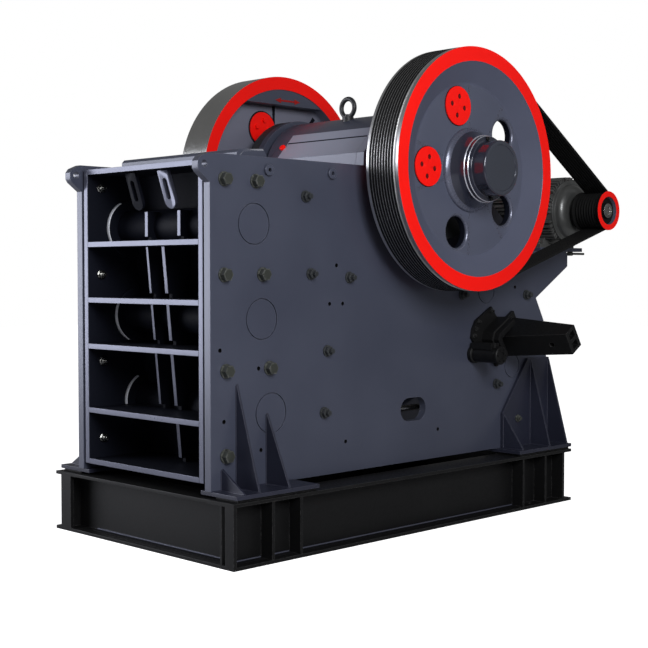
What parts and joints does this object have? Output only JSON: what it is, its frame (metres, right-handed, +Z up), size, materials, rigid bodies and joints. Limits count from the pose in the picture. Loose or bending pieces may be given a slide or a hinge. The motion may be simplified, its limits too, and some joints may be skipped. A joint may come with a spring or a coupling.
{
  "type": "jaw crusher",
  "caption": "Single-toggle jaw crusher: bolted side plates, ribbed front wall, swinging jaw on an eccentric shaft with two flywheels, belt drive and motor, on a base frame of beams.",
  "frame": {"origin": "centre of the base frame's anchor holes, on the ground", "axes": "+X from the ribbed front wall to the motor, -Y the driven side, +Z up"},
  "size_m": [4.061, 2.64, 3.3024],
  "materials": {
    "slate": "satin blue-grey paint",
    "black": "satin black paint",
    "red": "gloss red paint",
    "steel": "machined",
    "cast": "dark grey, satin",
    "belt": "matt",
    "manganese": "cast manganese steel"
  },
  "bodies": {
    "frame": {"base_beam_near": "black", "base_beam_far": "black", "base_beam_front": "black", "base_beam_rear": "black", "side_plate_near": "slate", "side_plate_far": "slate", "front_wall": "slate", "front_flanges": "slate", "front_ribs": "slate", "front_webs": "slate", "fixed_jaw_die": "manganese", "jaw_clamp_bar": "slate", "cheek_plates": "manganese", "toggle_plate": "slate", "toggle_seat": "cast", "rear_beam": "slate", "wedge_guide_near": "black", "wedge_guide_far": "black", "wedge_cylinders": "black", "tension_springs": "cast", "tension_brackets": "slate", "bearing_housing_near": "cast", "bearing_housing_far": "cast", "drive_belt": "belt", "motor": "cast", "motor_base": "slate", "front_feet": "slate", "rear_feet": "slate", "foot_doublers": "slate", "foot_pads": "black"},
    "swing_jaw": {"swing_jaw": "slate", "swing_jaw_die": "manganese", "head_guard": "slate", "tension_rods": "steel", "lifting_eye": "cast"},
    "rotor": {"main_shaft": "steel", "drive_flywheel": "steel", "plain_flywheel": "steel", "balance_covers": "red", "counterweight": "slate", "hub_caps": "slate"},
    "motor_rotor": {"motor_pulley": "cast"},
    "wedge_near": {"adjusting_wedge_near": "black"},
    "wedge_far": {"adjusting_wedge_far": "black"}
  },
  "joints": [
    {"name": "shaft_spin", "type": "hinge", "parent": "frame", "child": "rotor", "pos_m": [0.348, 0, 2.468], "axis": [0, 1, 0], "continuous": true},
    {"name": "motor_spin", "type": "hinge", "parent": "frame", "child": "motor_rotor", "pos_m": [1.99, -0.95, 2.243], "axis": [0, 1, 0], "continuous": true},
    {"name": "jaw_swing", "type": "hinge", "parent": "frame", "child": "swing_jaw", "pos_m": [0.348, 0, 2.468], "axis": [0, 1, 0], "range_deg": [-0.4, 0.4]},
    {"name": "wedge_near_slide", "type": "slide", "parent": "frame", "child": "wedge_near", "axis": [0, 1, 0], "range_m": [-0.1, 0.1]},
    {"name": "wedge_far_slide", "type": "slide", "parent": "frame", "child": "wedge_far", "axis": [0, -1, 0], "range_m": [-0.1, 0.1]}
  ],
  "couplings": [
    {"joint": "motor_spin", "follows": "shaft_spin", "ratio": 6.0362},
    {"joint": "wedge_far_slide", "follows": "wedge_near_slide", "ratio": 1}
  ]
}
